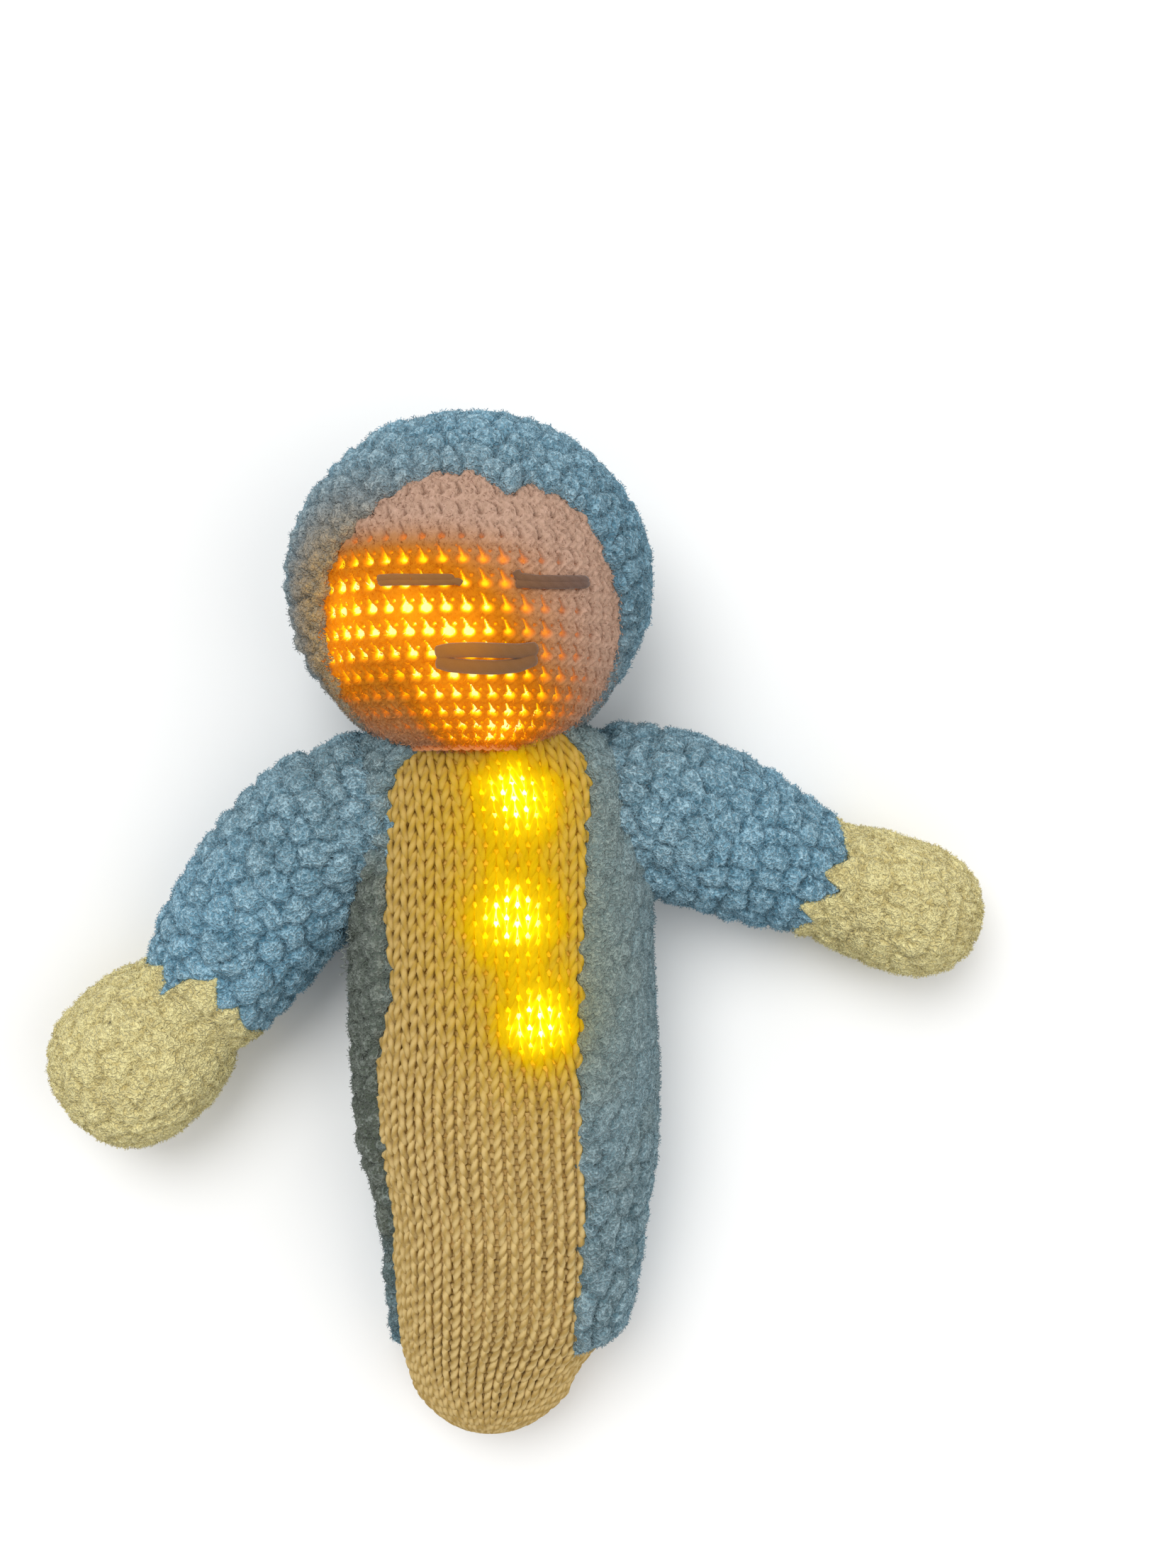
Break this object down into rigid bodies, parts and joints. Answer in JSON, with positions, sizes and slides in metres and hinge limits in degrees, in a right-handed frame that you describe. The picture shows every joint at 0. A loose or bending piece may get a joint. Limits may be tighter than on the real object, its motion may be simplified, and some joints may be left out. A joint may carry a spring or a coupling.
{
  "type": "light-up plush doll",
  "caption": "Crocheted bedtime doll with lights behind its face and chest, both arms out, lying on its back.",
  "frame": {"origin": "middle of the flat patch of the coat's back between the shoulders, on which the doll lies", "axes": "+Y from the toe to the head, +X to the viewer's right of the doll's front, +Z out of the front"},
  "size_m": [0.282, 0.301, 0.0998],
  "materials": {
    "chenille_blue": "matt blue-grey chenille yarn, worked in fat crochet stitches",
    "chenille_cream": "matt cream chenille yarn, worked in fat crochet stitches",
    "knit_cream": "cream plied acrylic yarn, machine-knit in stocking stitch",
    "crochet_peach": "peach plied acrylic yarn in single crochet",
    "embroidery_plum": "dark plum embroidery yarn",
    "polyester_fill": "white hollow-fibre fill",
    "warm_resin": "clear resin drop over a warm white light",
    "copper_wire": "lacquered copper wire",
    "white_abs": "white moulded plastic",
    "black_nylon": "black nylon",
    "nickel": "nickel-plated spring steel",
    "cell_jacket": "plain dark green cell jacket",
    "circuit_green": "solder-masked circuit board"
  },
  "bodies": {
    "body": {"coat": "chenille_blue", "front_panel": "knit_cream", "body_stuffing": "polyester_fill", "neck_seam": "crochet_peach", "loop_strip": "black_nylon", "battery_pouch": "knit_cream", "battery_box": "white_abs", "battery_cover": "white_abs", "cover_screw": "nickel", "cell_1": "cell_jacket", "cell_2": "cell_jacket", "contact_plate_1": "nickel", "contact_plate_2": "nickel", "contact_spring_1": "nickel", "contact_spring_2": "nickel", "switch_board": "circuit_green", "body_light_wire": "copper_wire", "chest_light_lower": "warm_resin", "chest_light_middle": "warm_resin", "chest_light_upper": "warm_resin"},
    "head": {"face_ball": "crochet_peach", "head_stuffing": "polyester_fill", "hood": "chenille_blue", "left_eye": "embroidery_plum", "right_eye": "embroidery_plum", "mouth_upper_strand": "embroidery_plum", "mouth_lower_strand": "embroidery_plum", "head_light_wire": "copper_wire", "face_light_chin": "warm_resin", "face_light_nose": "warm_resin", "face_light_left_cheek": "warm_resin", "face_light_temple": "warm_resin", "face_light_jaw": "warm_resin"},
    "left_shoulder": {"left_shoulder_seam": "chenille_blue"},
    "left_arm": {"left_sleeve": "chenille_blue", "left_hand": "chenille_cream", "left_arm_stuffing": "polyester_fill"},
    "right_shoulder": {"right_shoulder_seam": "chenille_blue"},
    "right_arm": {"right_sleeve": "chenille_blue", "right_hand": "chenille_cream", "right_arm_stuffing": "polyester_fill"},
    "flap": {"back_flap": "chenille_blue", "hook_strip": "black_nylon"},
    "switch": {"switch_slider": "black_nylon"}
  },
  "joints": [
    {"name": "neck_turn", "type": "hinge", "parent": "body", "child": "head", "pos_m": [-0.008, 0.101, 0.052], "axis": [0, 1, 0], "range_deg": [-35, 35]},
    {"name": "left_arm_swing", "type": "hinge", "parent": "body", "child": "left_shoulder", "pos_m": [-0.03698, 0.032, 0.033], "axis": [0, 0, -1], "range_deg": [-6.5, 41.5]},
    {"name": "left_arm_lift", "type": "hinge", "parent": "left_shoulder", "child": "left_arm", "pos_m": [-0.03698, 0.032, 0.033], "axis": [-0.6884, 0.7254, 0], "range_deg": [-10, 40]},
    {"name": "right_arm_swing", "type": "hinge", "parent": "body", "child": "right_shoulder", "pos_m": [0.038, 0.037, 0.033], "axis": [0, 0, 1], "range_deg": [-31.1, 48.9]},
    {"name": "right_arm_lift", "type": "hinge", "parent": "right_shoulder", "child": "right_arm", "pos_m": [0.038, 0.037, 0.033], "axis": [-0.3239, -0.9461, 0], "range_deg": [-10, 40]},
    {"name": "flap_hinge", "type": "hinge", "parent": "body", "child": "flap", "pos_m": [0, -0.025, 0], "axis": [1, 0, 0], "range_deg": [0, 100]},
    {"name": "switch_slide", "type": "slide", "parent": "body", "child": "switch", "axis": [0, 1, 0], "range_m": [0, 0.003]}
  ]
}
